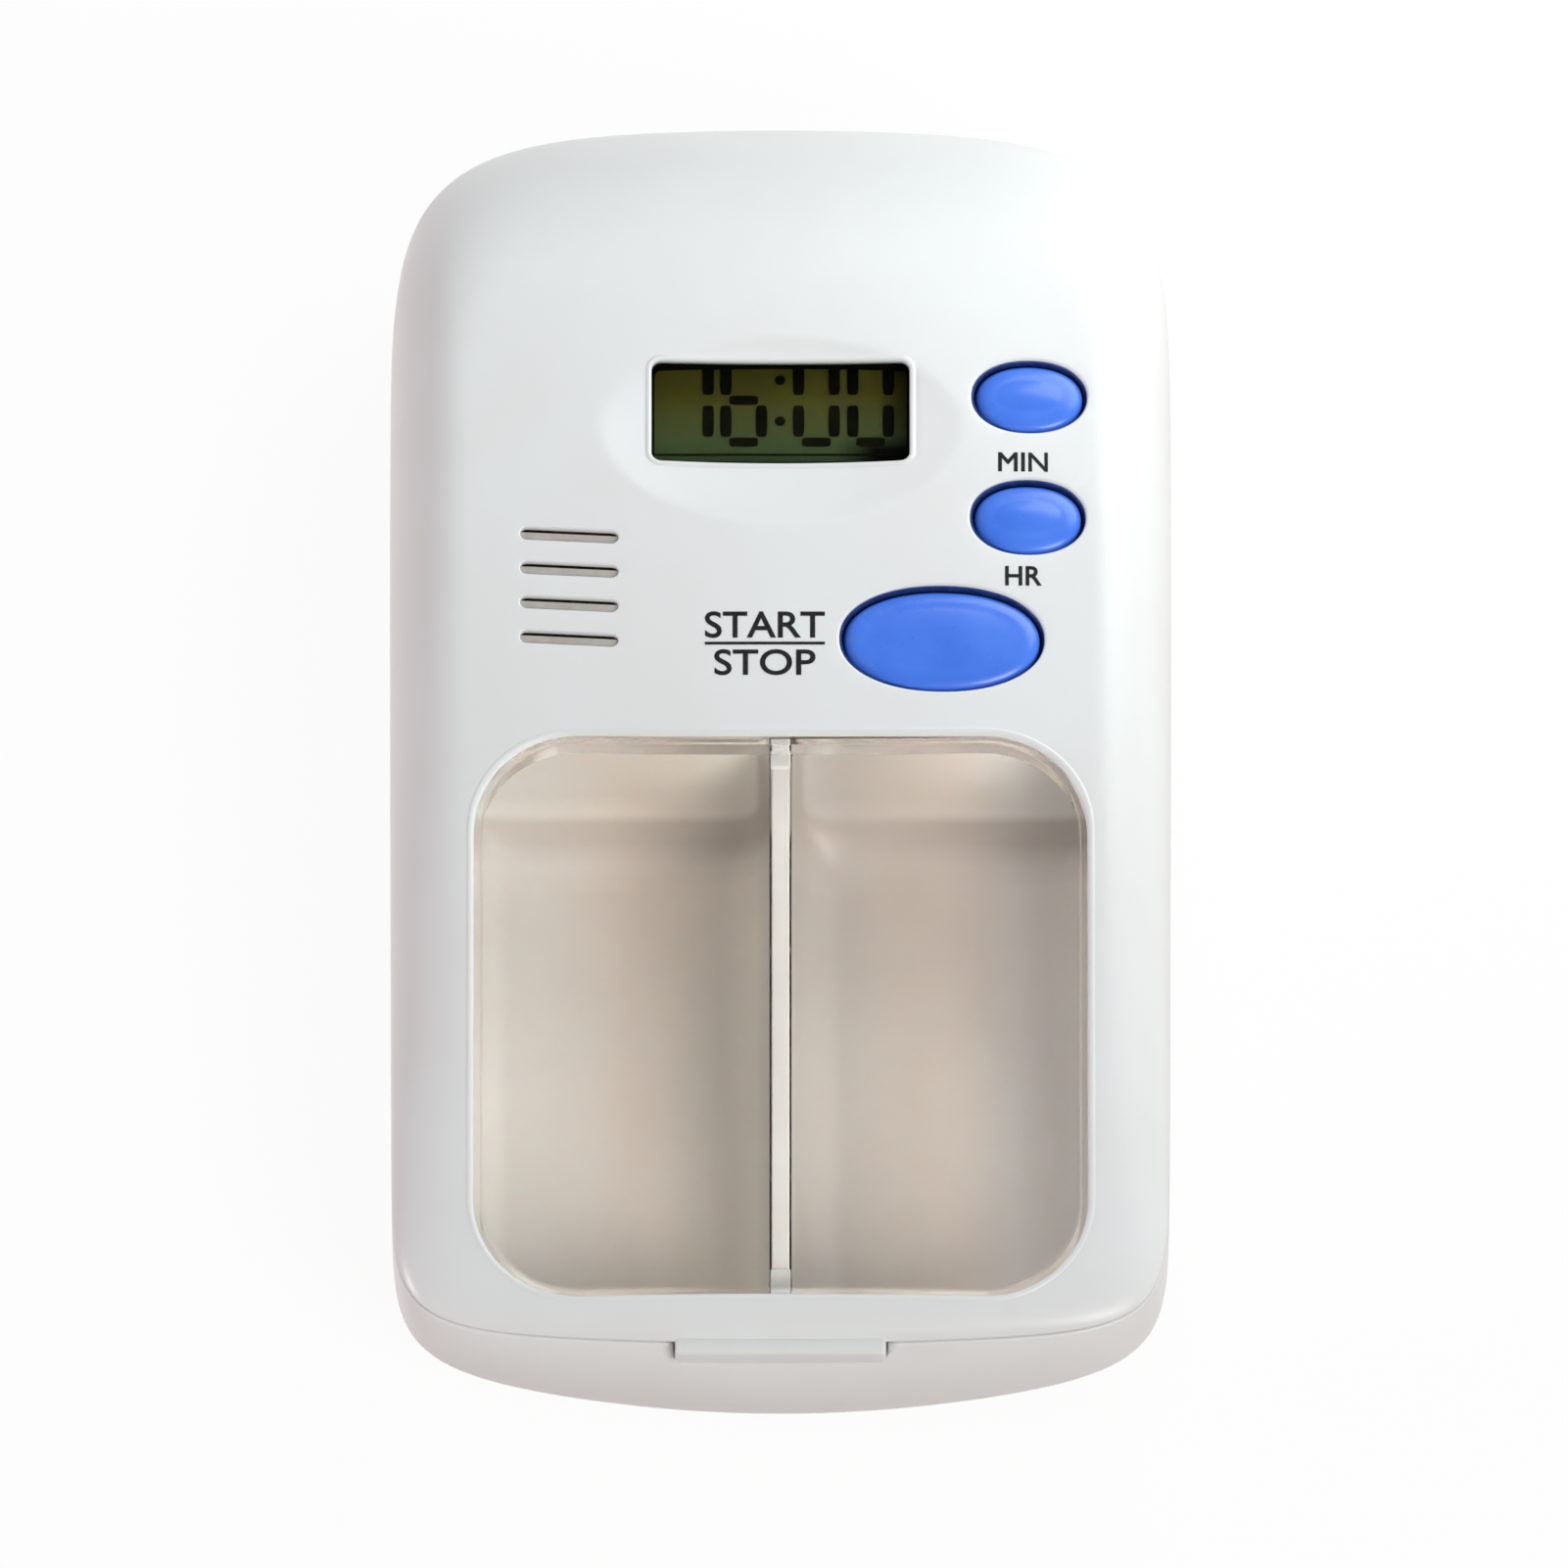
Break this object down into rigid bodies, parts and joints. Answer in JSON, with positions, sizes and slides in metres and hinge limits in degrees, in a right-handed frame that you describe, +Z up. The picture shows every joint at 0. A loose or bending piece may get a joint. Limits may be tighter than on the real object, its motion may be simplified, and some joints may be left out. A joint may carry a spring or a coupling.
{
  "type": "electronic pill box",
  "caption": "Domed white hand-held clamshell pill box with a clear window over two compartments, a digital clock display, sound slots and three blue push buttons.",
  "frame": {"origin": "centre of the flat back's footprint, on the surface that the box lies on", "axes": "+X across the face to the side with the buttons, +Y along the length from the pill end to the hinge end, +Z up out of the face"},
  "size_m": [0.05, 0.09, 0.02],
  "materials": {
    "white_shell": "satin-glossy injection-moulded white plastic",
    "white_divider": "glossy white plastic plate",
    "natural_tray": "translucent warm beige moulded plastic",
    "clear_window": "polished clear plastic",
    "display_olive": "olive liquid-crystal display glass",
    "silver_foil": "satin reflective foil",
    "dark_rubber": "matte silicone rubber",
    "board_green": "green solder-masked board",
    "black_epoxy": "black cast epoxy",
    "bright_steel": "bright nickel-plated steel",
    "brass_sheet": "rolled brass sheet",
    "pale_ceramic": "pale fired ceramic",
    "red_wire": "red insulated wire",
    "blue_button": "satin blue moulded plastic"
  },
  "bodies": {
    "base": {"base_shell": "white_shell", "pill_tray": "natural_tray", "tray_divider": "white_divider", "hinge_pin": "bright_steel"},
    "cover": {"front_cover": "white_shell", "window_pane": "clear_window", "display_lens": "clear_window", "display_glass": "display_olive", "display_reflector": "silver_foil", "contact_strip_upper": "dark_rubber", "contact_strip_lower": "dark_rubber", "circuit_board": "board_green", "controller_chip": "black_epoxy", "timing_crystal": "bright_steel", "capacitor": "bright_steel", "resistor_1": "pale_ceramic", "resistor_2": "pale_ceramic", "resistor_3": "pale_ceramic", "sounder_plate": "brass_sheet", "sounder_disc": "pale_ceramic", "sounder_lead_1": "red_wire", "sounder_lead_2": "red_wire", "button_cell_1": "bright_steel", "button_cell_2": "bright_steel", "battery_contact_1": "bright_steel", "battery_contact_2": "bright_steel", "module_cover": "white_shell", "module_screw_1": "bright_steel", "module_screw_2": "bright_steel", "module_screw_3": "bright_steel", "minute_dome": "dark_rubber", "hour_dome": "dark_rubber", "start_stop_dome": "dark_rubber"},
    "minute_key": {"minute_button": "blue_button"},
    "hour_key": {"hour_button": "blue_button"},
    "start_stop_key": {"start_stop_button": "blue_button"},
    "door": {"battery_door": "white_shell", "battery_link": "bright_steel", "battery_door_screw": "bright_steel"}
  },
  "joints": [
    {"name": "cover_hinge", "type": "hinge", "parent": "base", "child": "cover", "pos_m": [0, 0.0437, 0.008], "axis": [-1, 0, 0], "range_deg": [0, 110]},
    {"name": "minute_press", "type": "slide", "parent": "cover", "child": "minute_key", "axis": [0, 0, -1], "range_m": [0, 0.0006], "stiffness_N_per_m": 400, "deforming": ["minute_dome"]},
    {"name": "hour_press", "type": "slide", "parent": "cover", "child": "hour_key", "axis": [0, 0, -1], "range_m": [0, 0.0006], "stiffness_N_per_m": 400, "deforming": ["hour_dome"]},
    {"name": "start_stop_press", "type": "slide", "parent": "cover", "child": "start_stop_key", "axis": [0, 0, -1], "range_m": [0, 0.0006], "stiffness_N_per_m": 400, "deforming": ["start_stop_dome"]},
    {"name": "door_lift", "type": "slide", "parent": "cover", "child": "door", "axis": [0, 0, -1], "range_m": [0, 0.0016]}
  ]
}
